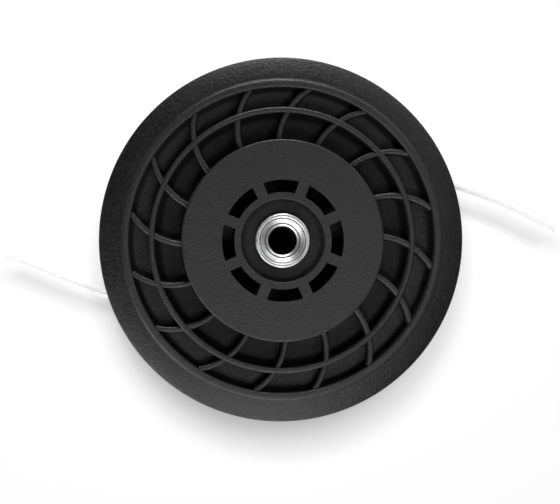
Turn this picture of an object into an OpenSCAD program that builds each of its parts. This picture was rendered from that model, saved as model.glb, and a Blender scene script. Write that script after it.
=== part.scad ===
// Bump-feed line head of a grass trimmer, drive side up.
// The finned housing screws onto the gearbox arbor by its steel insert. The spool inside carries
// two nylon lines that leave through two steel eyelets. Tapping the knob on the ground lifts the
// spool against its spring, and the spool then turns on by one tooth and lets out line.
// The origin is on the axis at the foot of the knob, +Z points to the gearbox.

/* [Rim] */
// Diameter of the rim flange, the widest place of the head
rim_d = 131; // [124:1:140]
// Height of the upright edge of the rim flange
rim_edge_h = 3.4; // [2:0.1:5]
// Rise of the domed rim band from its edge to the lip
rim_rise = 3; // [2:0.1:4]
// Radius of the dome of the rim band in section
rim_crown_r = 13.4; // [10:0.1:20]
// Diameter of the crease where the rim band meets the lip
lip_d = 115; // [112:0.5:118]
// Width of the raised lip round the fins
lip_w = 2.7; // [2:0.1:4]
// Height of the lip above the floor of the trough
lip_h = 6.6; // [5:0.1:8]

/* [Trough and fins] */
// Thickness of the plate that is the floor of the trough
plate_t = 2.5; // [2:0.1:4]
// Number of curved fins
fin_count = 16; // [8:1:24]
// Thickness of a fin
fin_t = 2.1; // [1.2:0.1:2.4]
// Height of a fin above the floor of the trough
fin_h = 5.8; // [3:0.1:6.5]
// Radius of the arc that a fin follows in plan
fin_arc_r = 24; // [22:0.5:30]
// Lean of a fin from the radius at its root, in degrees
fin_root_lean = 8; // [4:1:12]
// Outer diameter of the ring that ties the fins together
tie_ring_d = 95.6; // [86:0.2:100]
// Width of the tie ring
tie_ring_w = 2.1; // [1.2:0.1:3]
// Height of the tie ring above the floor of the trough
tie_ring_h = 6.3; // [4:0.1:7]

/* [Raised disc] */
// Diameter of the raised disc in the middle
disc_d = 72.4; // [68:0.2:76]
// Height of the disc above the floor of the trough
disc_h = 9.1; // [7.5:0.1:12]
// Thickness of the top and the side wall of the disc
disc_t = 2.5; // [2:0.1:3.5]
// Radius of the rounded edge of the disc
disc_round = 0.6; // [0.4:0.1:1.5]
// Number of air windows round the hub
window_count = 8; // [6:1:10]
// Outer diameter of the ring of windows
window_od = 43.5; // [41:0.1:48]
// Inner diameter of the ring of windows, which is the outside of the hub
window_id = 34.7; // [33.4:0.1:37]
// Width of the spokes between the windows
spoke_w = 3.9; // [2.5:0.1:6]
// Thickness of the webs below the spokes
web_t = 2.4; // [1.6:0.1:3.5]
// Diameter of the recess round the steel insert
recess_d = 29.7; // [26:0.1:31]
// Depth of that recess
recess_depth = 3.5; // [2:0.1:4]
// Thickness of the hub between the recess and the spring pocket
hub_t = 3; // [2.4:0.1:4]

/* [Steel insert] */
// Diameter of the round collar of the insert
insert_d = 19.6; // [17:0.1:22]
// Distance from the top of the disc down to the top of the insert
insert_drop = 1.3; // [0:0.1:2]
// Length of the insert
insert_len = 23; // [18:0.5:25]
// Width across the flats of the hexagonal body of the insert
insert_hex = 15.5; // [13:0.1:16.5]
// Outer diameter of the dished mouth of the insert
mouth_d = 16.4; // [13:0.1:18]
// Depth of the dished mouth
mouth_depth = 2.2; // [1:0.1:3]
// Nominal thread diameter of the gearbox arbor
arbor_d = 10; // [8:1:12]
// Pitch of the left-hand arbor thread
arbor_pitch = 1.25; // [1:0.25:1.75]
// Play of the plain pilot bore over the arbor, on the diameter
pilot_play = 0.3; // [0.1:0.1:0.6]
// Length of the pilot bore
pilot_len = 3; // [2:0.5:5]

/* [Skirt] */
// Outer diameter of the skirt round the spool
skirt_d = 110; // [108:0.5:114]
// Wall of the skirt
skirt_wall = 3; // [2.4:0.1:3.4]

/* [Bump feed] */
// Travel of the knob and the spool when the knob is tapped
bump_travel = 5; // [3.5:0.5:5]
// Clearance that is left at the ends of that travel
bump_gap = 0.3; // [0.2:0.1:0.6]
// Diameter of the post that the spool turns and slides on
post_d = 24.4; // [23.4:0.1:25]
// Running clearance between post and spool, on the radius
run_gap = 0.1; // [0.05:0.01:0.2]
// Wire of the bump spring
spring_wire = 1.6; // [1.2:0.1:1.8]
// Turns of the bump spring
spring_turns = 6; // [4:1:6]
// Thickness of the washer below the bump spring
thrust_t = 1.2; // [0.8:0.1:1.6]
// Thickness of the seat washer above the bump spring
seat_t = 0.8; // [0.5:0.1:1]

/* [Spool] */
// Diameter of the end flanges of the spool
spool_d = 97; // [92:0.5:98]
// Thickness of the end flanges
flange_t = 1.8; // [1.2:0.1:2]
// Height of each of the two line chambers
chamber_h = 8.4; // [8.2:0.1:10]
// Diameter of the divider between the chambers
divider_d = 76; // [70:0.5:77]
// Thickness of the divider
divider_t = 1.2; // [1:0.1:2]
// Diameter of the core that the line is wound on
core_d = 40; // [38:0.5:44]
// Thickness of the web that closes the foot of the spool
foot_web_t = 5.5; // [4:0.1:6]
// Number of index teeth on each face
tooth_count = 8; // [4:1:10]
// Width of an index tooth
tooth_w = 5; // [3:0.5:6]

/* [Line] */
// Diameter of the nylon line
line_d = 2.4; // [2:0.1:2.4]
// Distance from the axis to the middle of the outermost turn of line
wound_r = 30.8; // [28:0.1:32]

/* [Eyelets] */
// Place of the first eyelet round the head, in degrees
eyelet_angle = 23; // [15:0.5:30]
// Distance from the axis to the middle of an eyelet
eyelet_r = 53; // [52:0.5:54]
// Bore of an eyelet
eyelet_bore = 4.4; // [3.4:0.1:5]
// Outer diameter of the sleeve of an eyelet
eyelet_d = 8; // [7:0.1:9]
// Diameter of the flange of an eyelet
eyelet_flange_d = 11; // [10:0.1:12]
// Thickness of that flange
eyelet_flange_t = 1.2; // [0.8:0.1:1.6]

/* [Cover] */
// Thickness of the cover that closes the skirt
cover_t = 2.5; // [2:0.1:3]
// Room between the cover and the spool
under_spool = 4.5; // [4.4:0.1:6]
// Height of the upright rim inside the cover
cover_rim_h = 6.5; // [5.5:0.1:7]
// Wall of the rim and of the collar of the cover
cover_wall = 2.4; // [1.8:0.1:3]
// Gap between cover and skirt, on the radius
cover_gap = 0.3; // [0.2:0.1:0.5]

/* [Knob] */
// Diameter of the knob
knob_d = 51; // [46:0.5:53]
// Height by which the knob stands out of the cover
knob_drop = 15; // [12:0.5:20]
// Wall of the knob
knob_wall = 3; // [2:0.1:4]
// Diameter of the flat foot of the knob
knob_foot_d = 28; // [24:0.5:34]
// Gap between knob and cover, on the radius
knob_gap = 0.6; // [0.4:0.1:1]
// Number of grip flutes round the knob
flute_count = 12; // [6:1:18]
// Nominal diameter of the knob screw
screw_d = 5; // [4:0.5:6]
// Diameter of the head of the knob screw
screw_head_d = 9.5; // [8:0.5:10]
// Thickness of the head of the knob screw
screw_head_h = 3.2; // [2.4:0.1:4]

/* [Latches] */
// Width of a latch button
latch_w = 14; // [10:0.5:16]
// Thickness of a latch button
latch_h = 3.3; // [2.4:0.1:3.4]
// Travel of a latch button
latch_travel = 4.3; // [4.3:0.1:5]
// Height by which a latch button stands out of the skirt
latch_proud = 0.8; // [0.2:0.1:1]
// Sliding gap round a latch button
latch_gap = 0.3; // [0.2:0.05:0.4]
// Wire of a latch spring
latch_wire = 0.5; // [0.3:0.05:0.6]

/* [Hidden] */
$fn = 96;

// Colours of the materials
BLACK_NYLON = "#2a2b2d";
SPOOL_NYLON = "#3a3b3e";
STEEL = "#c9ccd0";
SPRING_STEEL = "#8d9196";
LINE_NYLON = "#e9ebee";

// Small overlap where two shapes of one piece join
join = 0.5;
// Clearance of a moulded-in or pressed piece
snug = 0.02;

// Heights, from the foot of the knob up
z_cover = knob_drop;
z_floor = z_cover + cover_t;
z_spool = z_floor + under_spool;
z_chamber_low = z_spool + flange_t;
z_divider = z_chamber_low + chamber_h;
z_chamber_high = z_divider + divider_t;
z_flange_high = z_chamber_high + chamber_h;
z_spool_top = z_flange_high + flange_t;
z_plate = z_spool_top + bump_travel + bump_gap;
z_trough = z_plate + plate_t;
z_lip = z_trough + lip_h;
z_crease = z_lip - 0.5;
z_rim = z_crease - rim_rise;
z_disc = z_trough + disc_h;
z_recess = z_disc - recess_depth;
z_pocket = z_recess - hub_t;
z_web_foot = z_spool_top + bump_travel + 1.4;

// Radii of the housing
rim_r = rim_d / 2;
lip_r = lip_d / 2;
lip_in = lip_r - lip_w;
skirt_r = skirt_d / 2;
skirt_in = skirt_r - skirt_wall;
disc_r = disc_d / 2;
hub_r = window_id / 2;
pocket_r = hub_r - 2.4;
post_r = post_d / 2;

// Steel insert
z_insert = z_disc - insert_drop;
z_insert_foot = z_insert - insert_len;
pilot_r = (arbor_d + pilot_play) / 2;
thread_r = (arbor_d - 0.96 * arbor_pitch) / 2;
collar_h = 4.5;

// Spool, well for the spring and post
bore_r = post_r + run_gap;
well_r = pocket_r + 0.3;
z_well = z_insert_foot - 0.2;
z_foot = z_spool - 3.5;
z_web = z_foot + foot_web_t;
z_post_foot = z_web + bump_travel + bump_gap;
tooth_in = 29;
tooth_out = 33;
tooth_low_h = 2.2;
tooth_high_h = 3.4;
tooth_room = 0.4;
notch_depth = 4;
notch_w = 2 * line_d;

// Bump spring
spring_play = 0.5;
spring_r = post_r + spring_play + spring_wire / 2;
z_spring_low = z_well + thrust_t;
z_spring_high = z_pocket - seat_t;

// Windings, laid just inside the outermost turn
wind_r = wound_r - line_d / 2 - 0.35;
wind_gap = 0.1;

// Straight run of a line from the winding through its eyelet: s is the way from the point where
// the line leaves the winding
eyelet_s = sqrt(eyelet_r * eyelet_r - wound_r * wound_r);
line_heading = eyelet_angle - asin(wound_r / eyelet_r);
z_eyelet = z_divider + divider_t / 2 + bump_travel / 2;
sleeve_in = eyelet_s - 2.1;
boss_face = sqrt(pow(skirt_r, 2) - pow(wound_r - eyelet_flange_d / 2 - 0.5, 2)) + 0.3;
mouth_s = boss_face + eyelet_flange_t;
boss_r = eyelet_flange_d / 2 + 1;
bore_reach = 20;
ramp_start = sqrt(pow(divider_d / 2 + line_d / 2 + 0.2, 2) - wound_r * wound_r);
ramp_end = sleeve_in - 0.5;
lead_wrap = 50;
lead_z_low = z_chamber_low + bump_travel + (chamber_h - bump_travel) / 2;
lead_z_high = z_chamber_high + bump_travel + (chamber_h - bump_travel) / 2;

// Cover and knob
cover_r = skirt_in - cover_gap;
knob_r = knob_d / 2;
cover_hole_r = knob_r + knob_gap;
z_collar = z_spool - tooth_room;
z_cover_rim = z_floor + cover_rim_h;
z_knob_top = z_foot + 1;
knob_floor = 5.5;
knob_shoulder = 9.5;
knob_dome_r = 13;
knob_boss_r = 8;
key_af = 12;
key_h = 2;
screw_r = screw_d / 2;
washer_t = 0.8;
z_screw_seat = 5;

// Latches, a quarter turn from the eyelets
latch_angle = eyelet_angle + 90;
latch_tip = skirt_r + latch_proud;
latch_back = 43;
latch_wall_out = 35.4;
latch_wall_t = 1.8;
z_latch = z_floor + latch_gap;
latch_spring_r = 1.2;
latch_spring_turns = 5;
window_depth = 5;

// Routes of the free line ends, after the mouths of their eyelets
END_1_ROUTE = [
    [62, 18, 35], [68, 16.6, 35], [77, 13.3, 35], [86, 9.4, 34.5], [95, 4.7, 34.5], [104.2, -0.5, 34]
];
END_2_ROUTE = [
    [-61, -18.5, 35], [-65.5, -17.9, 35], [-73, -14.9, 35], [-81.5, -11.3, 34.5], [-90.5, -7.1, 34.5],
    [-100.8, -2.7, 34]
];

// Points of an arc that bulges outwards, from p to q with radius r in n steps
function arc_points(p, q, r, n) =
    let (
        half = norm(q - p) / 2,
        dir = atan2(q[1] - p[1], q[0] - p[0]),
        spread = asin(half / r),
        mid = (p + q) / 2,
        centre = mid - sqrt(r * r - half * half) * [cos(dir + 90), sin(dir + 90)]
    )
    [for (i = [0:n]) centre + r * [cos(dir + 90 + spread - 2 * spread * i / n),
                                   sin(dir + 90 + spread - 2 * spread * i / n)]];

// Smooth curve through a list of points, with steps rings in each stretch
function spline_point(a, b, c, d, t) =
    0.5 * (2 * b + (c - a) * t + (2 * a - 5 * b + 4 * c - d) * t * t + (3 * b - a - 3 * c + d) * t * t * t);
function smooth_route(route, steps) =
    let (last = len(route) - 1)
    concat(
        [for (i = [0:last - 1]) for (k = [0:steps - 1])
            spline_point(route[max(i - 1, 0)], route[i], route[i + 1], route[min(i + 2, last)], k / steps)],
        [route[last]]
    );

// One ring of a tube round point p whose run has the direction way
function tube_ring(p, way, r, sides) =
    let (
        along = way / norm(way),
        aside = cross(along, [0, 0, 1]) / norm(cross(along, [0, 0, 1])),
        up = cross(aside, along)
    )
    [for (k = [0:sides - 1]) p + r * (cos(360 * k / sides) * aside + sin(360 * k / sides) * up)];

// Tube of diameter d along a list of points, closed at both ends
module tube(route, d, sides) {
    last = len(route) - 1;
    rings = [for (i = [0:last])
        each tube_ring(route[i], route[min(i + 1, last)] - route[max(i - 1, 0)], d / 2, sides)];
    sides_faces = [for (i = [0:last - 1]) for (k = [0:sides - 1])
        let (a = i * sides + k, b = i * sides + (k + 1) % sides)
        each [[a, b, b + sides], [a, b + sides, a + sides]]];
    start_face = [[for (k = [sides - 1:-1:0]) k]];
    end_face = [[for (k = [0:sides - 1]) last * sides + k]];
    polyhedron(points = rings, faces = concat(sides_faces, start_face, end_face), convexity = 10);
}

// Coil spring that stands on z = 0, with a closed turn at each end
module coil_spring(r, wire, height, turns, steps) {
    run = height - wire;
    pitch_at = function (t) min(max((t * turns - 0.75) / (turns - 1.5), 0), 1);
    ends = wire * 1.1 / run;
    route = [for (i = [0:turns * steps])
        let (t = i / (turns * steps), lift = min(t * turns, 0.75) / 0.75 * ends,
             drop = max(t * turns - turns + 0.75, 0) / 0.75 * ends)
        [r * cos(360 * t * turns), r * sin(360 * t * turns),
         wire / 2 + run * (lift + (1 - 2 * ends) * pitch_at(t) + drop)]];
    tube(route, wire, 6);
}

// Ring with a rectangular section
module ring(r_out, r_in, h) {
    difference() {
        cylinder(r = r_out, h = h);
        translate([0, 0, -1]) cylinder(r = r_in, h = h + 2);
    }
}

// Place of the children: x runs along the line out of the eyelet, z = 0 is the eyelet's height
module on_line(side) {
    rotate([0, 0, 180 * (side - 1) + line_heading])
        translate([0, wound_r, z_eyelet])
            children();
}

// Place of the children: x runs outwards through the middle of a latch
module on_latch(side) {
    rotate([0, 0, 180 * (side - 1) + latch_angle])
        children();
}

// Section of the disc, plate, lip, rim and skirt
module shell_section() {
    under_rim = z_rim - rim_edge_h;
    polygon(concat(
        [[skirt_in, z_cover], [skirt_in, z_plate], [disc_r - disc_t, z_plate],
         [disc_r - disc_t, z_disc - disc_t], [hub_r - join, z_disc - disc_t], [hub_r - join, z_disc]],
        arc_points([disc_r - disc_round, z_disc], [disc_r, z_disc - disc_round], disc_round, 4),
        [[disc_r, z_trough], [lip_in, z_trough]],
        arc_points([lip_in, z_lip - 0.5], [lip_in + 0.5, z_lip], 0.5, 3),
        arc_points([lip_r - 0.8, z_lip], [lip_r, z_crease], 1.2, 3),
        arc_points([lip_r + 0.2, z_crease], [rim_r, z_rim], rim_crown_r, 8),
        [[rim_r, under_rim], [skirt_r + 2, under_rim - 2], [skirt_r, under_rim - 4], [skirt_r, z_cover]]
    ));
}

// Section of the hub with the spring pocket and the post below it
module hub_section() {
    polygon([
        [0, z_post_foot], [post_r, z_post_foot], [post_r, z_pocket], [pocket_r, z_pocket],
        [pocket_r, z_web_foot], [hub_r, z_web_foot], [hub_r, z_disc], [recess_d / 2, z_disc],
        [recess_d / 2, z_recess], [0, z_recess]
    ]);
}

// Plan of one curved fin, swept clockwise from root to lip
module fin_plan() {
    way = -fin_root_lean;
    centre = [disc_r + fin_arc_r * sin(way), -fin_arc_r * cos(way)];
    far = atan2(centre[1], centre[0]);
    intersection() {
        difference() {
            circle(r = lip_in + join);
            circle(r = disc_r - join);
        }
        translate(centre)
            difference() {
                circle(r = fin_arc_r + fin_t / 2);
                circle(r = fin_arc_r - fin_t / 2);
            }
        polygon([[0, 0], rim_r * [cos(far), sin(far)], rim_r * [1, 0], rim_r * [cos(far), -sin(far)]]);
    }
}

// Plan of the air windows between the spokes
module window_plan() {
    difference() {
        circle(r = window_od / 2);
        circle(r = hub_r);
        for (i = [0:window_count - 1])
            rotate((i + 0.5) * 360 / window_count)
                translate([0, -spoke_w / 2])
                    square([window_od, spoke_w]);
    }
}

module upper_housing() {
    color(BLACK_NYLON)
    difference() {
        union() {
            rotate_extrude() shell_section();
            rotate_extrude() hub_section();
            translate([0, 0, z_trough - join])
                linear_extrude(height = fin_h + join)
                    for (i = [0:fin_count - 1])
                        rotate(i * 360 / fin_count) fin_plan();
            translate([0, 0, z_trough - join])
                ring(tie_ring_d / 2, tie_ring_d / 2 - tie_ring_w, tie_ring_h + join);
            for (i = [0:window_count - 1])
                rotate([0, 0, (i + 0.5) * 360 / window_count])
                    translate([hub_r - join, -web_t / 2, z_web_foot])
                        cube([disc_r - disc_t - hub_r + 2 * join, web_t, z_disc - disc_t - z_web_foot + join]);
            translate([0, 0, z_cover_rim + cover_gap])
                ring(skirt_in + join, skirt_in - 2, 1.6);
            for (side = [1, 2]) eyelet_boss(side);
        }
        arbor_pocket();
        translate([0, 0, z_web_foot + 1])
            linear_extrude(height = z_disc)
                window_plan();
        for (side = [1, 2]) {
            on_line(side)
                translate([eyelet_s - bore_reach, 0, 0])
                    rotate([0, 90, 0]) cylinder(d = eyelet_d + 2 * snug, h = 2 * bore_reach);
            on_latch(side)
                translate([skirt_in - window_depth, -latch_w / 2 - latch_gap, z_floor])
                    cube([3 * window_depth, latch_w + 2 * latch_gap, latch_h + 2 * latch_gap]);
        }
    }
}

// Thickened place of the skirt that an eyelet is pressed into
module eyelet_boss(side) {
    intersection() {
        on_line(side)
            translate([eyelet_s - bore_reach, 0, 0])
                rotate([0, 90, 0]) cylinder(r = boss_r, h = boss_face - eyelet_s + bore_reach);
        translate([0, 0, z_eyelet - boss_r - 1])
            ring(rim_r, spool_d / 2 + 1, 2 * boss_r + 2);
    }
}

// Room in hub and post for the insert and the tip of the arbor
module arbor_pocket() {
    translate([0, 0, z_insert - collar_h])
        cylinder(d = insert_d + 2 * snug, h = collar_h + 5);
    translate([0, 0, z_insert_foot])
        cylinder(r = insert_hex / 2 / cos(30) + snug, h = insert_len, $fn = 6);
    translate([0, 0, z_post_foot + 2.4])
        cylinder(r = pilot_r, h = insert_len);
}

module arbor_insert() {
    z_dish = z_insert - mouth_depth;
    color(STEEL)
    difference() {
        union() {
            translate([0, 0, z_insert_foot])
                cylinder(r = insert_hex / 2 / cos(30), h = insert_len - collar_h + join, $fn = 6);
            rotate_extrude()
                polygon([[0, z_insert - collar_h], [insert_d / 2, z_insert - collar_h],
                         [insert_d / 2, z_insert - 0.4], [insert_d / 2 - 0.4, z_insert], [0, z_insert]]);
        }
        rotate_extrude()
            polygon([[0, z_insert + 1], [mouth_d / 2, z_insert + 1], [mouth_d / 2, z_insert],
                     [mouth_d / 2 - 0.8, z_insert - 0.5], [pilot_r + 0.9, z_dish + 0.5],
                     [pilot_r, z_dish], [0, z_dish]]);
        translate([0, 0, z_dish - pilot_len])
            cylinder(r = pilot_r, h = pilot_len + 0.5);
        translate([0, 0, z_insert_foot - 1])
            cylinder(r = thread_r, h = insert_len);
    }
}

// Turned steel eyelet with a flared mouth
module eyelet() {
    reach = mouth_s - sleeve_in;
    color(STEEL)
    translate([sleeve_in, 0, 0])
        rotate([0, 90, 0])
            rotate_extrude()
                polygon([[eyelet_bore / 2 + 0.6, 0], [eyelet_d / 2, 0], [eyelet_d / 2, reach - eyelet_flange_t],
                         [eyelet_flange_d / 2, reach - eyelet_flange_t], [eyelet_flange_d / 2, reach - 0.3],
                         [eyelet_flange_d / 2 - 0.3, reach], [eyelet_bore / 2 + 0.8, reach],
                         [eyelet_bore / 2, reach - 0.8], [eyelet_bore / 2, 0.6]]);
}

module eyelet_1() {
    on_line(1) eyelet();
}

module eyelet_2() {
    on_line(2) eyelet();
}

// Guide walls and spring wall of a latch on the cover
module latch_guide() {
    side_y = latch_w / 2 + latch_gap;
    guide_h = z_collar - z_floor;
    for (way = [0, 1])
        mirror([0, way, 0])
            translate([latch_wall_out - latch_wall_t, side_y, z_floor - join])
                cube([cover_r - cover_wall - latch_wall_out + latch_wall_t + join, latch_wall_t, guide_h + join]);
    translate([latch_wall_out - latch_wall_t, -side_y - join, z_floor - join])
        cube([latch_wall_t, 2 * side_y + 2 * join, guide_h + join]);
}

// Ring of index teeth
module teeth(h) {
    for (i = [0:tooth_count - 1])
        rotate([0, 0, i * 360 / tooth_count])
            translate([tooth_in, -tooth_w / 2, 0])
                cube([tooth_out - tooth_in, tooth_w, h]);
}

module lower_cover() {
    rim_in = cover_r - cover_wall;
    color(BLACK_NYLON)
    difference() {
        union() {
            rotate_extrude()
                polygon([
                    [cover_hole_r, z_cover], [cover_r - 0.8, z_cover], [cover_r, z_cover + 0.8],
                    [cover_r, z_cover_rim], [rim_in, z_cover_rim], [rim_in, z_floor],
                    [cover_hole_r + cover_wall, z_floor], [cover_hole_r + cover_wall, z_collar],
                    [cover_hole_r, z_collar]
                ]);
            translate([0, 0, z_floor - join])
                rotate([0, 0, eyelet_angle])
                    teeth(z_spool - tooth_low_h - tooth_room - z_floor + join);
            for (side = [1, 2]) on_latch(side) latch_guide();
        }
        for (side = [1, 2])
            on_latch(side)
                translate([rim_in - 1, -latch_w / 2 - latch_gap, z_floor])
                    cube([2 * window_depth, latch_w + 2 * latch_gap, latch_h + 2 * latch_gap]);
    }
}

// Sliding latch with finger grooves in its outer face
module latch_button() {
    color(SPOOL_NYLON)
    translate([0, -latch_w / 2, z_latch])
        difference() {
            intersection() {
                translate([latch_back, 0, 0])
                    cube([latch_tip - latch_back, latch_w, latch_h]);
                translate([0, latch_w / 2, -1])
                    cylinder(r = latch_tip, h = latch_h + 2);
            }
            for (k = [1:4])
                translate([latch_tip - 0.5, k * latch_w / 5 - 0.4, -1])
                    cube([2, 0.8, latch_h + 2]);
            translate([latch_back - 1, latch_w / 2, latch_h / 2])
                rotate([0, 90, 0]) cylinder(r = latch_spring_r + latch_wire / 2 + 0.1, h = 2);
        }
}

module latch_button_1() {
    on_latch(1) latch_button();
}

module latch_button_2() {
    on_latch(2) latch_button();
}

module latch_spring() {
    room = latch_back + 1 - latch_wall_out;
    color(SPRING_STEEL)
    translate([latch_wall_out, 0, z_latch + latch_h / 2])
        rotate([0, 90, 0])
            coil_spring(latch_spring_r, latch_wire, room, latch_spring_turns, 12);
}

module latch_spring_1() {
    on_latch(1) latch_spring();
}

module latch_spring_2() {
    on_latch(2) latch_spring();
}

module spring_seat() {
    color(STEEL)
    translate([0, 0, z_pocket - seat_t])
        ring(pocket_r - 0.2, post_r + run_gap, seat_t);
}

module bump_spring() {
    color(SPRING_STEEL)
    translate([0, 0, z_spring_low])
        coil_spring(spring_r, spring_wire, z_spring_high - z_spring_low, spring_turns, 24);
}

module thrust_washer() {
    color(STEEL)
    translate([0, 0, z_well])
        ring(well_r - 0.2, post_r + run_gap, thrust_t);
}

module spool() {
    core_r = core_d / 2;
    end_r = spool_d / 2;
    divider_r = divider_d / 2;
    color(SPOOL_NYLON)
    difference() {
        union() {
            rotate_extrude()
                polygon([
                    [0, z_foot], [core_r - 2, z_foot], [core_r - 2, z_spool], [end_r, z_spool],
                    [end_r, z_chamber_low], [core_r, z_chamber_low], [core_r, z_divider],
                    [divider_r, z_divider], [divider_r, z_chamber_high], [core_r, z_chamber_high],
                    [core_r, z_flange_high], [end_r, z_flange_high], [end_r, z_spool_top],
                    [well_r, z_spool_top], [well_r, z_well], [bore_r, z_well], [bore_r, z_web], [0, z_web]
                ]);
            translate([0, 0, z_spool - tooth_low_h])
                teeth(tooth_low_h + join);
            translate([0, 0, z_spool_top - join])
                teeth(tooth_high_h + join);
        }
        translate([0, 0, z_foot - 1])
            cylinder(r = key_af / 2 / cos(30) + 0.1, h = key_h + 1.1, $fn = 6);
        translate([0, 0, z_foot])
            cylinder(r = screw_r + 0.05, h = foot_web_t + 1);
        for (side = [0, 1])
            rotate([0, 0, 180 * side])
                translate([divider_r - notch_depth, -notch_w / 2, z_divider - 1])
                    cube([2 * notch_depth, notch_w, divider_t + 2]);
    }
}

// Packed turns of line in one chamber
module winding(z_low) {
    color(LINE_NYLON)
    translate([0, 0, z_low + wind_gap])
        ring(wind_r, core_d / 2 + snug, chamber_h - 2 * wind_gap);
}

module winding_upper() {
    winding(z_chamber_high);
}

module winding_lower() {
    winding(z_chamber_low);
}

module bump_knob() {
    hollow_r = knob_r - knob_wall;
    color(BLACK_NYLON)
    difference() {
        union() {
            rotate_extrude()
                polygon(concat(
                    [[0, z_foot], [knob_boss_r, z_foot], [knob_boss_r, knob_floor],
                     [hollow_r - 6, knob_floor], [hollow_r, knob_shoulder + 1.5], [hollow_r, z_knob_top],
                     [knob_r, z_knob_top]],
                    arc_points([knob_r, knob_shoulder], [knob_foot_d / 2 + 1, 0.4], knob_dome_r, 8),
                    [[knob_foot_d / 2, 0], [0, 0]]
                ));
            cylinder(r = key_af / 2 / cos(30), h = z_foot + key_h, $fn = 6);
        }
        translate([0, 0, -1])
            cylinder(d = screw_head_d + 1, h = z_screw_seat + 1);
        cylinder(r = screw_r + 0.25, h = z_foot + key_h + 1);
        for (i = [0:flute_count - 1])
            rotate([0, 0, i * 360 / flute_count])
                translate([knob_r + 1.6, 0, knob_shoulder - 3])
                    cylinder(r = 2.6, h = z_cover - knob_shoulder + 2, $fn = 32);
    }
}

module knob_screw() {
    z_head = z_screw_seat - washer_t - screw_head_h;
    color(STEEL)
    difference() {
        union() {
            translate([0, 0, z_head]) cylinder(d = screw_head_d, h = screw_head_h);
            translate([0, 0, z_head + join]) cylinder(r = screw_r, h = z_web - 0.5 - z_head - join);
        }
        translate([0, 0, z_head - 1])
            cylinder(r = 2.3, h = 3, $fn = 6);
    }
}

module knob_washer() {
    color(STEEL)
    translate([0, 0, z_screw_seat - washer_t])
        ring(screw_head_d / 2 + 0.2, screw_r + 0.1, washer_t);
}

// Line from the last turn on the spool to the mouth of its eyelet
module line_lead(side, z_lead) {
    fall = z_lead - z_eyelet;
    wrap = [for (a = [lead_wrap:-8:6])
        [wound_r * sin(-a), wound_r * cos(a) - wound_r, fall]];
    run = [for (s = [0:2.5:mouth_s])
        let (t = min(max((s - ramp_start) / (ramp_end - ramp_start), 0), 1))
        [s, 0, fall * (1 + cos(180 * t)) / 2]];
    color(LINE_NYLON)
    on_line(side)
        tube(concat(wrap, run, [[mouth_s, 0, 0]]), line_d, 8);
}

module line_lead_1() {
    line_lead(1, lead_z_high);
}

module line_lead_2() {
    line_lead(2, lead_z_low);
}

// Free line outside the head, from the mouth of its eyelet to its cut end
module line_end(side, route) {
    turn = 180 * (side - 1) + line_heading;
    way = [cos(turn), sin(turn), 0];
    mouth = mouth_s * way + wound_r * [-sin(turn), cos(turn), 0] + [0, 0, z_eyelet];
    color(LINE_NYLON)
        tube(smooth_route(concat([mouth, mouth + 2 * way], route), 3), line_d, 8);
}

module line_end_1() {
    line_end(1, END_1_ROUTE);
}

module line_end_2() {
    line_end(2, END_2_ROUTE);
}

upper_housing();
arbor_insert();
eyelet_1();
eyelet_2();
lower_cover();
latch_button_1();
latch_button_2();
latch_spring_1();
latch_spring_2();
spring_seat();
bump_spring();
thrust_washer();
spool();
winding_upper();
winding_lower();
bump_knob();
knob_screw();
knob_washer();
line_lead_1();
line_lead_2();
line_end_1();
line_end_2();
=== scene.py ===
import math

import bmesh
import bpy
from mathutils import Matrix, Vector


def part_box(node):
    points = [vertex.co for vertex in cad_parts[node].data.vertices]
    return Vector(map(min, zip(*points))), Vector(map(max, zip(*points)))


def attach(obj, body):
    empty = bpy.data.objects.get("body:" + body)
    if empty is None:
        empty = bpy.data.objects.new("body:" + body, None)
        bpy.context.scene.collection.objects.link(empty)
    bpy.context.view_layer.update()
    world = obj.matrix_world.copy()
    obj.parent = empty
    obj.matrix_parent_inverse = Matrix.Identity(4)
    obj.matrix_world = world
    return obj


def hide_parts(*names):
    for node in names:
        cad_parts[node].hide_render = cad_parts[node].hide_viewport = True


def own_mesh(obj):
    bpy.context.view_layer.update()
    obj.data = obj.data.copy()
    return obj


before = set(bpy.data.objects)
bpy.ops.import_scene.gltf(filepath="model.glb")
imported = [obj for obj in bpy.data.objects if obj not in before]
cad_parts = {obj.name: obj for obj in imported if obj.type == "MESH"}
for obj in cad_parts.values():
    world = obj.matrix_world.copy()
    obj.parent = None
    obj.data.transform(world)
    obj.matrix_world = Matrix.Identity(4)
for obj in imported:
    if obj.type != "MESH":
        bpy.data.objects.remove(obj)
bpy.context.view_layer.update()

scene = bpy.context.scene
scene.view_settings.view_transform = "Standard"
MM = 0.001

# ------------------------------------------------------------------------------
# Camera: a long lens that looks down the axis of the head from above, a little from one side.
# ------------------------------------------------------------------------------
PICTURE_W, PICTURE_H = 560, 504
AIM = Vector((0, 0, 57 * MM))
AIM_PIXEL = (282.45, 240.45)
CAMERA_AWAY = 0.6
CAMERA_LEAN = math.radians(4.4)
CAMERA_SIDE = math.radians(150.2)
PICTURE_UP = math.radians(88)
SENSOR = 36
LENS = 107.8


def on_circle(angle, radius=1.0, height=0.0):
    """A point at an angle round the axis of the head."""
    return Vector((radius * math.cos(angle), radius * math.sin(angle), height))


towards_camera = on_circle(CAMERA_SIDE, math.sin(CAMERA_LEAN), math.cos(CAMERA_LEAN))
picture_right = on_circle(PICTURE_UP).cross(towards_camera).normalized()
picture_top = towards_camera.cross(picture_right)

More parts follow.
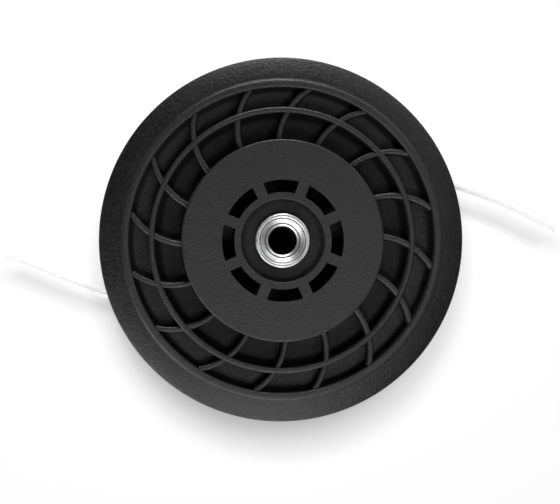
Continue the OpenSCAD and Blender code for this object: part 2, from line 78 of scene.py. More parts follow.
lens = bpy.data.cameras.new("camera")
lens.sensor_width = SENSOR
lens.lens = LENS
lens.shift_x = (PICTURE_W / 2 - AIM_PIXEL[0]) / PICTURE_W
lens.shift_y = (AIM_PIXEL[1] - PICTURE_H / 2) / PICTURE_W
camera = bpy.data.objects.new("camera", lens)
camera.matrix_world = Matrix.Translation(AIM + CAMERA_AWAY * towards_camera) @ Matrix(
    (picture_right, picture_top, towards_camera)).transposed().to_4x4()
scene.collection.objects.link(camera)
scene.camera = camera


# ------------------------------------------------------------------------------
# Free line ends: two cut ends of thick nylon monofilament. They come out of the eyelets under
# the rim, are stiff enough to stand free, and are sheared off a little aslant.
# ------------------------------------------------------------------------------
LINE_D = 2.4 * MM
EYELET_ANGLE = math.radians(23)
EYELET_R = 53 * MM
WOUND_R = 30.8 * MM
EYELET_HEIGHT = 35.3 * MM
SKIRT_R = 55 * MM
FLANGE_D, FLANGE_T = 11 * MM, 1.2 * MM
FLANGE_MARGIN, BOSS_PROUD = 0.5 * MM, 0.3 * MM
LINE_HEADING = EYELET_ANGLE - math.asin(WOUND_R / EYELET_R)
BOSS_FACE = math.sqrt(SKIRT_R ** 2 - (WOUND_R - FLANGE_D / 2 - FLANGE_MARGIN) ** 2) + BOSS_PROUD
MOUTH = BOSS_FACE + FLANGE_T
STRAIGHT_RUN = 2 * MM
CUT_LEAN, CUT_BACK, CUT_SPARE = math.radians(14), 0.3 * MM, 0.4 * MM
END_ROUTES = {
    1: [(62, 18, 35), (68, 16.6, 35), (77, 13.3, 35), (86, 9.4, 34.5), (95, 4.7, 34.5), (104.2, -0.5, 34)],
    2: [(-61, -18.5, 35), (-65.5, -17.9, 35), (-73, -14.9, 35), (-81.5, -11.3, 34.5), (-90.5, -7.1, 34.5),
        (-100.8, -2.7, 34)],
}
LINE_COLOUR = (0.98, 0.98, 0.98, 1)
# Draw lines and painted shade: the darker colour of the streaks along the line.
LINE_SHADE = (0.87, 0.875, 0.88, 1)
DRAW_LINES = 9
CRISP = math.radians(35)


class Value:
    """An output in a node tree: arithmetic on it adds Math nodes."""

    def __init__(self, nodes, socket):
        self.nodes = nodes
        self.socket = socket

    def maths(self, operation, *values):
        return self.nodes.node("ShaderNodeMath", {"operation": operation}, values)

    def __add__(self, other):
        return self.maths("ADD", self, other)

    def __sub__(self, other):
        return self.maths("SUBTRACT", self, other)

    def __rsub__(self, other):
        return self.maths("SUBTRACT", other, self)

    def __mul__(self, other):
        return self.maths("MULTIPLY", self, other)

    def __pow__(self, other):
        return self.maths("POWER", self, other)

    __radd__ = __add__
    __rmul__ = __mul__

    def between(self, low, high):
        """0 below low, 1 above high, smooth between them."""
        smooth_step = {"interpolation_type": "SMOOTHSTEP"}
        return self.nodes.node("ShaderNodeMapRange", smooth_step, (self, low, high))


class Nodes:
    """A node tree to which nodes are added."""

    def __init__(self, tree):
        self.tree = tree

    def node(self, kind, settings=None, values=(), output=0):
        """One node: its settings first, then the values or links of its sockets."""
        made = self.tree.nodes.new(kind)
        for setting, value in (settings or {}).items():
            setattr(made, setting, value)
        for socket, value in values.items() if isinstance(values, dict) else enumerate(values):
            if isinstance(value, Value):
                self.tree.links.new(value.socket, made.inputs[socket])
            else:
                made.inputs[socket].default_value = value
        return Value(self, made.outputs[output])


class Finish(Nodes):
    """A material round one Principled shader; what never varies is set on the shader itself."""

    def __init__(self, name, **fixed):
        self.material = bpy.data.materials.new(name)
        self.material.use_nodes = True
        super().__init__(self.material.node_tree)
        self.shader = self.tree.nodes["Principled BSDF"]
        for socket, value in fixed.items():
            self.shader.inputs[socket.replace("_", " ")].default_value = value
        self.place = self.node("ShaderNodeTexCoord", output="Object")

    def grain(self, size, detail=2, stretch=(1, 1, 1), roughness=0.5):
        """Noise between 0 and 1 whose features are about size metres."""
        place = self.node("ShaderNodeMapping", values={"Vector": self.place, "Scale": stretch})
        return self.node("ShaderNodeTexNoise", values={
            "Vector": place, "Scale": 1 / size, "Detail": detail, "Roughness": roughness})

    def split(self, vector):
        """The x, y and z of a vector."""
        node = self.node("ShaderNodeSeparateXYZ", values=(vector,)).socket.node
        return [Value(self, output) for output in node.outputs]

    def round_axis(self):
        """Distance from the axis of the head, and height."""
        x, y, height = self.split(self.place)
        return (x * x + y * y) ** 0.5, height

    def colour_mix(self, factor, first, second):
        """A colour between two others."""
        return self.node("ShaderNodeMix", {"data_type": "RGBA"}, {0: factor, 6: first, 7: second}, output=2)

    def feed(self, socket, value):
        """Links a value to a socket of the shader."""
        self.tree.links.new(value.socket, self.shader.inputs[socket])

    def bump(self, height, depth):
        """Feeds a relief of that depth in metres into the shader's normal."""
        self.feed("Normal", self.node("ShaderNodeBump", values={
            "Strength": 1, "Distance": depth, "Height": height}))


def monofilament():
    """Extruded nylon: milky and translucent, with small scuffs and darker streaks along it, which are
    draw lines and painted shade for the dark line that light draws through a clear rod.
    """
    finish = Finish("line_nylon", Transmission_Weight=0.45, IOR=1.53)
    cloud = finish.grain(3 * MM, detail=3)
    round_line = finish.split(finish.node("ShaderNodeTexCoord", output="UV"))[1]
    place = finish.node("ShaderNodeCombineXYZ", values=(round_line, 0, 0))
    drawn = finish.node("ShaderNodeTexNoise", values={"Vector": place, "Scale": DRAW_LINES, "Detail": 2})
    # Draw lines, and painted shade for the dark stripe down the line.
    milky_and_shaded = (cloud * 0.3 + drawn * 0.7).between(0.35, 0.6)
    finish.feed("Base Color", finish.colour_mix(milky_and_shaded, LINE_SHADE, LINE_COLOUR))
    finish.feed("Roughness", finish.grain(0.6 * MM) * 0.2 + 0.25)
    finish.bump(drawn, 0.03 * MM)
    return finish.material


def smooth(route, steps):
    """Points on one smooth curve through a route, steps to each stretch."""
    ends = [2 * route[0] - route[1], *route, 2 * route[-1] - route[-2]]
    points = []
    for a, b, c, d in zip(ends, ends[1:], ends[2:], ends[3:]):
        for step in range(steps):
            t = step / steps
            points.append(0.5 * (2 * b + (c - a) * t + (2 * a - 5 * b + 4 * c - d) * t ** 2
                                 + (3 * b - a - 3 * c + d) * t ** 3))
    return points + [route[-1]]


def rod(route, thickness, rounds=6):
    """A round rod along a route, closed at both ends, as a bmesh."""
    curve = bpy.data.curves.new("route", "CURVE")
    curve.dimensions = "3D"
    curve.bevel_depth = thickness / 2
    curve.bevel_resolution = rounds
    curve.use_fill_caps = True
    spline = curve.splines.new("POLY")
    spline.points.add(len(route) - 1)
    for place, point in zip(spline.points, route):
        place.co = (*point, 1)
    carrier = bpy.data.objects.new("route", curve)
    shape = bmesh.new()
    made = bpy.data.meshes.new_from_object(carrier)
    shape.from_mesh(made)
    bpy.data.objects.remove(carrier)
    bpy.data.meshes.remove(made)
    bpy.data.curves.remove(curve)
    bmesh.ops.remove_doubles(shape, verts=shape.verts, dist=1e-6)
    bmesh.ops.recalc_face_normals(shape, faces=shape.faces)
    return shape


def cut_off(shape, point, normal):
    """Takes away what lies beyond a plane and returns the open edges."""
    cut = bmesh.ops.bisect_plane(shape, geom=shape.verts[:] + shape.edges[:] + shape.faces[:],
                                 plane_co=point, plane_no=normal, clear_outer=True)
    return [part for part in cut["geom_cut"] if isinstance(part, bmesh.types.BMEdge)]


def piece(name, shape, material, body, nodes):
    """The finished object of a shape: smooth but for its crisp edges, riding on its body."""
    mesh = bpy.data.meshes.new(name)
    shape.to_mesh(mesh)
    shape.free()
    mesh.shade_smooth()
    mesh.set_sharp_from_angle(angle=CRISP)
    mesh.materials.append(material)
    made = bpy.data.objects.new(name, mesh)
    scene.collection.objects.link(made)
    made.modifiers.new("even_shading", "WEIGHTED_NORMAL").keep_sharp = True
    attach(made, body)
    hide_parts(*nodes)
    return made


def on_line(side, along=0.0, across=0.0, up=0.0):
    """A point by the straight run of a line through its eyelet: along it, beside it, above it."""
    heading = LINE_HEADING + math.pi * (side - 1)
    run = on_circle(heading, along) + on_circle(heading + math.pi / 2, WOUND_R + across)
    return run + Vector((0, 0, EYELET_HEIGHT + up))


line_nylon = monofilament()
for side, route in END_ROUTES.items():
    heading = on_circle(LINE_HEADING + math.pi * (side - 1))
    mouth = on_line(side, MOUTH)
    points = smooth([mouth, mouth + STRAIGHT_RUN * heading, *[Vector(point) * MM for point in route]], 4)
    tip = points[-1]
    tip_way = (tip - points[-2]).normalized()
    shape = rod(points[:-1] + [tip + CUT_SPARE * tip_way], LINE_D, rounds=8)
    shear = Matrix.Rotation(CUT_LEAN, 3, "Z") @ tip_way
    bmesh.ops.holes_fill(shape, edges=cut_off(shape, tip - CUT_BACK * shear, shear))
    end = piece(f"cut_line_{side}", shape, line_nylon, "housing", [f"line_end_{side}"])
    length = sum((b - a).length for a, b in zip(points, points[1:]))


# ------------------------------------------------------------------------------
# Upper housing: one moulding of black glass-filled nylon. The rim, lip, cooling trough, raised
# disc, hub and skirt are one turned section; fins, tie ring, webs and bosses are moulded on to it.
# ------------------------------------------------------------------------------
TURN_STEPS = 192
RIM_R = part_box("upper_housing")[1].y
DISC_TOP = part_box("upper_housing")[1].z
DISC_R = 36.2 * MM
TROUGH = DISC_TOP - 9.1 * MM
LIP_TOP = TROUGH + 6.6 * MM
LIP_IN, LIP_OUT = 54.8 * MM, 57.5 * MM
CREST_R, CREST = 61.9 * MM, 56.05 * MM
RIM_HIGH, RIM_LOW = 54.4 * MM, 51.1 * MM
NECK_R, NECK = 57 * MM, 49.1 * MM
HUB_IN, HUB_OUT = 14.85 * MM, 17.35 * MM
WINDOW_OUT = 21.75 * MM
RECESS = DISC_TOP - 3.5 * MM
DISC_UNDER, DISC_HOLLOW_R = DISC_TOP - 2.5 * MM, 33.7 * MM
PLATE_UNDER = TROUGH - 2.5 * MM
WEB_FOOT, WEB_T, WEB_SINK = 50 * MM, 2.4 * MM, 0.5 * MM
SKIRT_IN, SKIRT_TOP, SKIRT_FOOT = 52 * MM, 47.1 * MM, 15 * MM
STOP_IN, STOP_LOW, STOP_HIGH = 50 * MM, 24.3 * MM, 25.9 * MM
FIN_COUNT, FIN_T, FIN_TOP, FIN_BEND = 16, 2.1 * MM, TROUGH + 5.8 * MM, 24 * MM
FIN_LEAN, FIN_START, FIN_SWEEP = math.radians(8), math.radians(84), math.radians(54)
FIN_FOOT, FIN_ROOT = TROUGH - 0.4 * MM, TROUGH + 0.5 * MM
TIE_OUT, TIE_IN = 47.8 * MM, 45.7 * MM
TIE_FOOT, TIE_TOP = TROUGH - 0.3 * MM, TROUGH + 6.3 * MM
WINDOWS, SPOKE_W, WINDOW_REACH = 8, 3.9 * MM, 0.9
POST_R, POST_FOOT = 12.2 * MM, 29.3 * MM
POCKET_R, POCKET_TOP = 14.95 * MM, 54 * MM
BORE_FOOT = 31.7 * MM
INSERT_R, COLLAR_FOOT = 9.8 * MM, 54.7 * MM
BODY_R, BODY_FOOT = 8.95 * MM, 36.2 * MM
PILOT_R = 5.15 * MM
SEAM_W, SEAM_DEPTH = 0.35 * MM, 0.8 * MM
BOSS_R, BOSS_BORE, BOSS_IN, BOSS_START = 6.5 * MM, 4.02 * MM, 49.6 * MM, 30 * MM
LATCH_ANGLE = EYELET_ANGLE + math.pi / 2
LATCH_OPENING = 7.3 * MM
LATCH_LOW, LATCH_HIGH = 17.5 * MM, 21.4 * MM
LATCH_WALLS = 49 * MM
WIDE_ROUNDING = 2 * MM
# Painted shade: the black of the trough, its walls and the recess.
BLACK_SHADED = (0.002, 0.002, 0.0021, 1)
BLACK = (0.001, 0.001, 0.001, 1)
BLACK_WORN = (0.012, 0.012, 0.0122, 1)
# Painted light: the paler black of the high faces.
BLACK_LIT_TOPS = (0.02, 0.02, 0.0203, 1)


def moulded_nylon(name, dark, pale):
    """Glass-filled nylon: clouded and specked; glossier on its high faces, which are painted paler as
    light on the tops; rougher on the walls and floors of the trough and of the recess, which are
    painted black as shade."""
    finish = Finish(name, Specular_IOR_Level=0.35)
    cloud = finish.grain(9 * MM, detail=4, roughness=0.6)
    specks = finish.grain(0.9 * MM, detail=3, roughness=0.7)
    blotches = finish.grain(2 * MM, detail=2)
    radius, height = finish.round_axis()
    in_trough = (1 - height.between(FIN_TOP - 0.9 * MM, FIN_TOP - 0.3 * MM)) * (
        1 - radius.between(LIP_IN, LIP_IN + 0.2 * MM)) * radius.between(HUB_OUT, WINDOW_OUT)
    inner = 1 - radius.between(TIE_IN, TIE_OUT)
    # Painted shade: a dark band on the floor along the foot of the lip and inside the tie ring.
    shade_by_wall = radius.between(LIP_IN - 2.2 * MM, LIP_IN - 0.9 * MM) + radius.between(
        TIE_IN - 3 * MM, TIE_IN - 1.2 * MM) * inner
    pit = (1 - height.between(DISC_TOP - 0.9 * MM, DISC_TOP - 0.4 * MM)) * (
        1 - radius.between(HUB_IN + 0.1 * MM, HUB_IN + 0.4 * MM))
    # Painted shade, and roughness: the trough, its walls and the recess floor go darker and rougher, most
    # by the walls, in the inner trough and along the hub wall.
    rough_and_shaded = in_trough * (shade_by_wall + inner * 0.45 + 0.15) + pit * (
        radius.between(HUB_IN - 2 * MM, HUB_IN) * 0.4 + 0.5)
    # Painted light: the high faces inside the lip are painted paler, as the light that falls on the tops.
    high = height.between(FIN_TOP - 0.6 * MM, FIN_TOP - 0.1 * MM) * (
        1 - radius.between(LIP_OUT - 0.3 * MM, LIP_OUT + 0.3 * MM))
    skin = finish.colour_mix((cloud * 0.3 + specks * 0.7).between(0.3, 0.7), dark, pale)
    skin = finish.colour_mix(high * (specks * 0.6 + 0.4), skin, BLACK_LIT_TOPS)
    # Painted shade: the base colour goes to black where the mask above is high.
    finish.feed("Base Color", finish.colour_mix(rough_and_shaded.between(0, 0.8), skin, BLACK_SHADED))
    finish.feed("Roughness", blotches * 0.2 + specks * 0.3 + 0.15 + rough_and_shaded * 0.4)
    finish.bump(specks + finish.grain(0.3 * MM) * 0.4 + blotches * 0.5, 0.16 * MM)
    return finish.material


def section_of(corners):
    """The outline of a turned piece from its corners (radius, height, rounding)."""
    shape = bmesh.new()
    placed = [(shape.verts.new((radius, 0, height)), rounding) for radius, height, rounding in corners]
    points = [corner for corner, rounding in placed]
    closed = all(radius > 0 for radius, height, rounding in (corners[0], corners[-1]))
    for pair in zip(points, points[1:] + points[:1] * closed):
        shape.edges.new(pair)
    for size in sorted({rounding for corner, rounding in placed if rounding}):
        bmesh.ops.bevel(shape, geom=[corner for corner, rounding in placed if rounding == size],
                        offset=size, offset_type="OFFSET", segments=4 if size < WIDE_ROUNDING else 12,
                        profile=0.5, affect="VERTICES", material=-1)
    return shape


def spin(shape, **turn):
    """Spins all that a shape holds round the axis of the head."""
    bmesh.ops.spin(shape, geom=shape.verts[:] + shape.edges[:] + shape.faces[:], cent=(0, 0, 0),
                   axis=(0, 0, 1), **turn)


def turned(corners, steps=TURN_STEPS):
    """A round piece: its section spun once round the axis of the head."""
    shape = section_of(corners)
    spin(shape, angle=math.tau, steps=steps, use_merge=True)
    bmesh.ops.remove_doubles(shape, verts=shape.verts, dist=1e-6)
    bmesh.ops.recalc_face_normals(shape, faces=shape.faces)
    return shape


def swung(shape, angle):
    """The same shape, turned round the axis of the head."""
    bmesh.ops.rotate(shape, verts=shape.verts, cent=(0, 0, 0), matrix=Matrix.Rotation(angle, 3, "Z"))
    return shape


def block(low, high, softness):
    """A box between two corners, with softened edges."""
    shape = bmesh.new()
    low, high = Vector(low), Vector(high)
    bmesh.ops.create_cube(shape, size=1)
    bmesh.ops.scale(shape, verts=shape.verts, vec=high - low)
    bmesh.ops.translate(shape, verts=shape.verts, vec=(low + high) / 2)
    bmesh.ops.bevel(shape, geom=shape.edges[:], offset=softness, offset_type="OFFSET", segments=2,
                    profile=0.5, affect="EDGES", material=-1)
    return shape


def along_line(shape, side):
    """Lays a shape that was turned about an upright axis along a line, its height outwards."""
    heading = LINE_HEADING + math.pi * (side - 1)
    frame_of_line = Matrix((Vector((0, 0, 1)), on_circle(heading - math.pi / 2), on_circle(heading)))
    place = Matrix.Translation(on_line(side)) @ frame_of_line.transposed().to_4x4()
    bmesh.ops.transform(shape, verts=shape.verts, matrix=place)
    return shape


def open_hole(shape, near, planes, inside):
    """Opens a hole through a wall: planes score both of its faces near the hole, what is inside
    goes, and the two rims are bridged."""
    for point, normal in planes:
        scored = [face for face in shape.faces if near(face.calc_center_median())]
        bmesh.ops.bisect_plane(
            shape, geom=list({part for face in scored for part in (face, *face.edges, *face.verts)}),
            dist=1e-7, plane_co=point, plane_no=normal)
    gone = {face for face in shape.faces
            if near(face.calc_center_median()) and inside(face.calc_center_median())}
    rims = [edge for edge in shape.edges if len(gone.intersection(edge.link_faces)) == 1]
    bmesh.ops.delete(shape, geom=list(gone), context="FACES")
    bmesh.ops.bridge_loops(shape, edges=[edge for edge in rims if edge.is_valid])


def opening_for(angle, half_width):
    """The two side planes of an opening in a round wall, and the test for what is between them."""
    outward, sideways = on_circle(angle), on_circle(angle + math.pi / 2)

    def between_sides(point):
        return abs(point.dot(sideways)) < half_width and point.dot(outward) > 0

    return [(-half_width * sideways, sideways), (half_width * sideways, sideways)], between_sides


def open_for_latch(shape, side):
    """Opens the window of a latch through the round walls of a shape at that height."""
    angle = LATCH_ANGLE + math.pi * (side - 1)
    planes, in_opening = opening_for(angle, LATCH_OPENING)
    by_opening = opening_for(angle, 2 * LATCH_OPENING)[1]

    def by_latch(point):
        return LATCH_LOW < point.z < LATCH_HIGH and point.to_2d().length > LATCH_WALLS and by_opening(point)

    open_hole(shape, by_latch, planes, in_opening)


def add_shape(whole, part):
    """Puts a second shape into a first one."""
    mesh = bpy.data.meshes.new("part")
    part.to_mesh(mesh)
    part.free()
    whole.from_mesh(mesh)
    bpy.data.meshes.remove(mesh)


def fin():
    """One curved fin: a rounded section with a flared root, spun about the middle of its bend."""
    half = FIN_T / 2
    flank = [(half + 0.5 * MM, FIN_FOOT, 0), (half + 0.1 * MM, FIN_ROOT, 0.3 * MM),
             (half, FIN_TOP, 0.8 * MM)]
    shape = section_of([(FIN_BEND - across, height, rounding) for across, height, rounding in flank] + [
        (FIN_BEND + across, height, rounding) for across, height, rounding in reversed(flank)])
    bmesh.ops.contextual_create(shape, geom=shape.edges[:])
    centre = Vector((DISC_R - FIN_BEND * math.sin(FIN_LEAN), -FIN_BEND * math.cos(FIN_LEAN), 0))
    spin(swung(shape, FIN_START), angle=-FIN_SWEEP, steps=24)
    bmesh.ops.translate(shape, verts=shape.verts, vec=centre)
    bmesh.ops.recalc_face_normals(shape, faces=shape.faces)
    return shape


def eyelet_boss(side):
    """The thickened place of the skirt round an eyelet."""
    shape = along_line(turned([
        (BOSS_BORE, BOSS_START, 0), (BOSS_R, BOSS_START, 0), (BOSS_R, BOSS_FACE, 0.4 * MM),
        (BOSS_BORE, BOSS_FACE, 0)], steps=48), side)
    outward = on_circle(EYELET_ANGLE + math.pi * (side - 1))
    bmesh.ops.bridge_loops(shape, edges=cut_off(shape, BOSS_IN * outward, -outward))
    return shape


black_nylon = moulded_nylon("black_nylon", BLACK, BLACK_WORN)
housing = turned([
    (0, BORE_FOOT, 0), (PILOT_R, BORE_FOOT, 0), (PILOT_R, BODY_FOOT, 0), (BODY_R, BODY_FOOT, 0),
    (BODY_R, COLLAR_FOOT, 0), (INSERT_R, COLLAR_FOOT, 0), (INSERT_R, RECESS - SEAM_DEPTH, 0),
    (INSERT_R + SEAM_W, RECESS - SEAM_DEPTH, 0), (INSERT_R + SEAM_W, RECESS, 0.1 * MM),
    (HUB_IN, RECESS, 0.35 * MM), (HUB_IN, DISC_TOP, 0.35 * MM), (HUB_OUT, DISC_TOP, 0),
    (WINDOW_OUT, DISC_TOP, 0), (DISC_R, DISC_TOP, 0.7 * MM), (DISC_R, TROUGH, 0.6 * MM),
    (LIP_IN, TROUGH, 0.5 * MM), (LIP_IN, LIP_TOP, 0.6 * MM), (LIP_OUT, LIP_TOP, 1.2 * MM),
    (LIP_OUT + 0.2 * MM, LIP_TOP - 1 * MM, 0.25 * MM), (CREST_R, CREST, 3.2 * MM),
    (RIM_R, RIM_HIGH, 0.35 * MM), (RIM_R, RIM_LOW, 0.6 * MM), (NECK_R, NECK, 0.5 * MM),
    (SKIRT_R, SKIRT_TOP, 0.5 * MM), (SKIRT_R, LATCH_HIGH, 0), (SKIRT_R, LATCH_LOW, 0),
    (SKIRT_R, SKIRT_FOOT, 0.5 * MM), (SKIRT_IN, SKIRT_FOOT, 0.5 * MM), (SKIRT_IN, LATCH_LOW, 0),
    (SKIRT_IN, LATCH_HIGH, 0), (SKIRT_IN, STOP_LOW, 0), (STOP_IN, STOP_LOW, 0.2 * MM),
    (STOP_IN, STOP_HIGH, 0.2 * MM), (SKIRT_IN, STOP_HIGH, 0), (SKIRT_IN, PLATE_UNDER, 0.5 * MM),
    (DISC_HOLLOW_R, PLATE_UNDER, 0.5 * MM), (DISC_HOLLOW_R, DISC_UNDER, 0.5 * MM),
    (WINDOW_OUT, DISC_UNDER, 0), (HUB_OUT, DISC_UNDER, 0), (HUB_OUT, WEB_FOOT, 0),
    (POCKET_R, WEB_FOOT, 0.3 * MM), (POCKET_R, POCKET_TOP, 0), (POST_R, POCKET_TOP, 0),
    (POST_R, POST_FOOT, 0.4 * MM), (0, POST_FOOT, 0)])

for window in range(WINDOWS):
    middle = math.tau * window / WINDOWS
    spokes = [middle - math.pi / WINDOWS, middle + math.pi / WINDOWS]
    sides = [(on_circle(angle + way * math.pi / 2, -SPOKE_W / 2), on_circle(angle + math.pi / 2))
             for angle, way in zip(spokes, (-1, 1))]

    def by_window(point, middle=middle):
        radius, height = point.to_2d().length, point.z
        return HUB_OUT < radius < WINDOW_OUT and height > DISC_UNDER - 0.1 * MM and \
            point.to_2d().dot(on_circle(middle).to_2d()) > WINDOW_REACH * radius

    def in_window(point, sides=sides):
        return (point - sides[0][0]).dot(sides[0][1]) > 0 and (point - sides[1][0]).dot(sides[1][1]) < 0

    open_hole(housing, by_window, sides, in_window)
for side in (1, 2):
    eyelet_place = on_line(side, math.sqrt(EYELET_R ** 2 - WOUND_R ** 2))
    across = on_circle(LINE_HEADING + math.pi * (side - 1) + math.pi / 2)
    upright = Vector((0, 0, 1))
    scores = [(eyelet_place + way * BOSS_BORE * normal, normal)
              for normal in (across, upright) for way in (-1, 1)]

    def by_eyelet(point, place=eyelet_place):
        return (point - place).length < 2 * BOSS_R

    def in_bore(point, place=eyelet_place, across=across, upright=upright):
        return max(abs((point - place).dot(across)), abs((point - place).dot(upright))) < BOSS_BORE

    open_hole(housing, by_eyelet, scores, in_bore)
    open_for_latch(housing, side)
    add_shape(housing, eyelet_boss(side))
for number in range(FIN_COUNT):
    add_shape(housing, swung(fin(), math.tau * number / FIN_COUNT))
add_shape(housing, turned([
    (TIE_IN, TIE_FOOT, 0), (TIE_OUT, TIE_FOOT, 0), (TIE_OUT, TIE_TOP, 0.75 * MM),
    (TIE_IN, TIE_TOP, 0.75 * MM)]))
for number in range(WINDOWS):
    web = block((HUB_OUT - WEB_SINK, -WEB_T / 2, WEB_FOOT),
                (DISC_HOLLOW_R + WEB_SINK, WEB_T / 2, DISC_UNDER + WEB_SINK), 0.25 * MM)
    add_shape(housing, swung(web, math.tau * (number + 0.5) / WINDOWS))
piece("housing_moulding", housing, black_nylon, "housing", ["upper_housing"])


# ------------------------------------------------------------------------------
# Arbor insert: a turned steel nut, moulded into the hub. It has a hexagonal body against turning,
# a round collar with a dished mouth, a plain pilot bore and a left-hand thread for the arbor.
# ------------------------------------------------------------------------------
INSERT_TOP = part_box("arbor_insert")[1].z
THREAD_R, THREAD_ROOT, THREAD_PITCH = 4.4 * MM, 5 * MM, 1.25 * MM
THREAD_TURNS, THREAD_START = 13, BODY_FOOT + 0.8 * MM
THREAD_SINK, HALF_CREST = 0.05 * MM, 0.1 * MM
PILOT_FOOT, PILOT_MOUTH = 54 * MM, INSERT_TOP - 2 * MM
HALF_HEX = 7.75 * MM
HEX_HOLE_R, COLLAR_HOLE_R = 7.4 * MM, 7.6 * MM
LAP, PLAY = 0.1 * MM, 0.02 * MM
GROOVE_1, GROOVE_2, EDGE_RING = 6.1 * MM, 8 * MM, 8.95 * MM
RING_FOOT, RING_HALF = 0.1 * MM, 0.2 * MM
FACE_IN, FACE_OUT = 8.6 * MM, INSERT_R - 0.45 * MM
LATHE_PITCH = 0.35 * MM
STEEL_GREY = (0.4, 0.4, 0.405, 1)
STEEL_BRIGHT = (0.86, 0.86, 0.865, 1)
# Oiled steel and painted shade: the dark of the bore.
STEEL_OILED_SHADED = (0.03, 0.03, 0.03, 1)


def lathe_steel():
    """Steel from the lathe: fine rings round the axis, a smear of stain, darker rings in its grooves,
    and the bore painted dark, as oiled steel and as painted shade down the bore.
    """
    finish = Finish("lathe_steel", Metallic=1.0)
    radius, height = finish.round_axis()
    across = finish.node("ShaderNodeCombineXYZ", values=(radius, 0, height))
    rings = finish.node("ShaderNodeTexNoise", values={
        "Vector": across, "Scale": 1 / LATHE_PITCH, "Detail": 3})
    stain = finish.grain(4 * MM, detail=3)
    streaks = finish.grain(0.5 * MM, detail=2)
    # Painted dark in the bore, below its mouth: oiled steel, and painted shade down the bore.
    oil_and_bore_shade = (1 - radius.between(PILOT_R, PILOT_R + 0.12 * MM)) * (
        1 - height.between(PILOT_MOUTH - 0.15 * MM, PILOT_MOUTH))
    shine = (rings * 0.85 + stain * 0.25 - 0.05).between(0.35, 0.62)
    clean = finish.colour_mix(shine, STEEL_GREY, STEEL_BRIGHT)
    # Darker in the two grooves of the mouth and at the edge ring.
    darker_in_grooves = 0
    for middle, share in ((GROOVE_1, 0.95), (GROOVE_2, 0.8), (EDGE_RING, 0.5)):
        darker_in_grooves = darker_in_grooves + share * radius.between(middle - 0.17 * MM, middle - 0.07 * MM) * (
            1 - radius.between(middle + 0.07 * MM, middle + 0.17 * MM))
    finish.feed("Base Color", finish.colour_mix(oil_and_bore_shade + darker_in_grooves, clean, STEEL_OILED_SHADED))
    finish.feed("Roughness", rings * 0.12 + stain * 0.12 + streaks * 0.06 + oil_and_bore_shade * 0.4 + 0.3)
    finish.bump(rings + streaks * 0.05, 0.06 * MM)
    return finish.material


def left_hand_thread(low, turns, steps=40):
    """The ridge of an internal thread, spun and raised step by step."""
    half, root = THREAD_PITCH / 2, THREAD_ROOT + THREAD_SINK
    shape = section_of([(root, low - half, 0), (THREAD_R, low - HALF_CREST, 0),
                        (THREAD_R, low + HALF_CREST, 0), (root, low + half, 0)])
    bmesh.ops.contextual_create(shape, geom=shape.edges[:])
    spin(shape, dvec=(0, 0, THREAD_PITCH / steps), angle=-math.tau * turns, steps=steps * turns)
    bmesh.ops.recalc_face_normals(shape, faces=shape.faces)
    return shape


hexagon = turned([
    (THREAD_ROOT, BODY_FOOT, 0.2 * MM), (BODY_R - PLAY, BODY_FOOT, 0.3 * MM),
    (BODY_R - PLAY, COLLAR_FOOT + LAP, 0), (HEX_HOLE_R, COLLAR_FOOT + LAP, 0),
    (HEX_HOLE_R, PILOT_FOOT, 0), (THREAD_ROOT, PILOT_FOOT, 0)], steps=96)
for flat in range(6):
    side_way = on_circle(math.radians(30 + 60 * flat))
    bmesh.ops.holes_fill(hexagon, edges=cut_off(hexagon, HALF_HEX * side_way, side_way))
insert = turned([
    (PILOT_R, PILOT_FOOT - LAP, 0), (PILOT_R, PILOT_MOUTH, 0.1 * MM),
    (GROOVE_1 - RING_HALF, INSERT_TOP - 1.5 * MM, 0.08 * MM),
    (GROOVE_1 - RING_FOOT, INSERT_TOP - 1.7 * MM, 0),
    (GROOVE_1 + RING_FOOT, INSERT_TOP - 1.7 * MM, 0),
    (GROOVE_1 + RING_HALF, INSERT_TOP - 1.4 * MM, 0.08 * MM),
    (GROOVE_2 - RING_HALF, INSERT_TOP - 0.45 * MM, 0.1 * MM),
    (GROOVE_2 - RING_FOOT, INSERT_TOP - 0.65 * MM, 0),
    (GROOVE_2 + RING_FOOT, INSERT_TOP - 0.65 * MM, 0),
    (GROOVE_2 + RING_HALF, INSERT_TOP - 0.2 * MM, 0.06 * MM),
    (FACE_IN, INSERT_TOP, 0.08 * MM), (FACE_OUT, INSERT_TOP, 0.1 * MM),
    (INSERT_R - PLAY, INSERT_TOP - 0.4 * MM, 0.1 * MM), (INSERT_R - PLAY, COLLAR_FOOT, 0),
    (COLLAR_HOLE_R, COLLAR_FOOT, 0), (COLLAR_HOLE_R, PILOT_FOOT - LAP, 0)])
add_shape(insert, hexagon)
add_shape(insert, left_hand_thread(THREAD_START, THREAD_TURNS))
piece("steel_insert", insert, lathe_steel(), "housing", ["arbor_insert"])


# ------------------------------------------------------------------------------
# Eyelets: two turned steel sleeves with a polished, flared mouth, pressed into the skirt so that
# the running line doesn't cut the nylon.
# ------------------------------------------------------------------------------
EYELET_BORE_R, EYELET_SLEEVE_R = 2.2 * MM, 4 * MM
SLEEVE_IN = math.sqrt(EYELET_R ** 2 - WOUND_R ** 2) - 2.1 * MM


def bright_steel(name, grey, bright, roughness):
    """Plated steel with a slightly uneven shine and fine scratches."""
    finish = Finish(name, Metallic=1.0)
    haze = finish.grain(2.5 * MM, detail=3)
    scratches = finish.grain(0.3 * MM, detail=2, stretch=(1, 0.15, 1))
    finish.feed("Base Color", finish.colour_mix(haze.between(0.3, 0.7), grey, bright))
    finish.feed("Roughness", haze * 0.12 + scratches * 0.1 + roughness)
    finish.bump(scratches, 0.01 * MM)
    return finish.material


